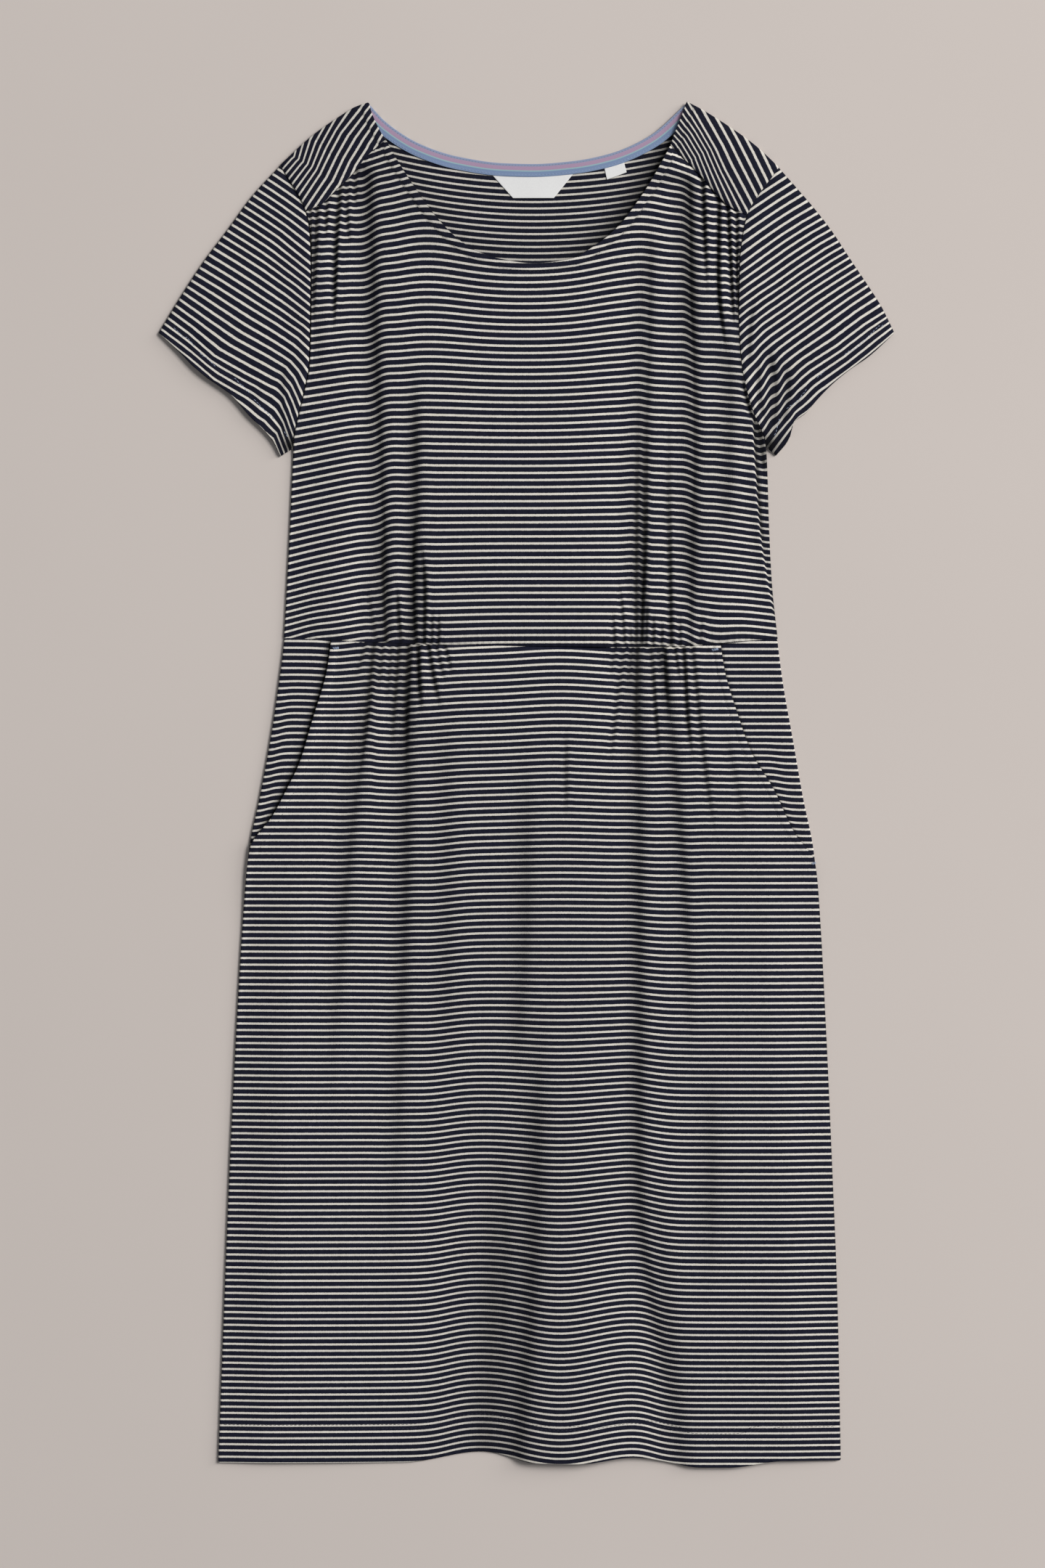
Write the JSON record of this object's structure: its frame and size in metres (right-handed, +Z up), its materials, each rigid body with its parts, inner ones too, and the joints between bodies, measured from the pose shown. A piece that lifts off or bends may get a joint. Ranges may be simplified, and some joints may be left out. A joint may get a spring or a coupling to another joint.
{
  "type": "jersey dress",
  "caption": "Short-sleeved jersey dress with shoulder yokes, gathered waist and slant pockets, laid flat with its front up.",
  "frame": {"origin": "centre of the dress's box in plan, on the surface that it lies on", "axes": "+Y towards the neck, +X to the right as one looks down on the front, +Z up from the surface"},
  "size_m": [0.5712, 1.0582, 0.0083],
  "materials": {
    "jersey": "matt",
    "tape": "matt",
    "label": "satin",
    "thread": "satin"
  },
  "bodies": {
    "root": {"back_bodice": "jersey", "back_skirt": "jersey", "front_bodice": "jersey", "front_skirt": "jersey", "yoke_left": "jersey", "yoke_right": "jersey", "sleeve_left": "jersey", "sleeve_right": "jersey", "hip_panel_left": "jersey", "hip_panel_right": "jersey", "neck_tape": "tape", "neck_label": "label", "care_label": "label"}
  },
  "joints": []
}
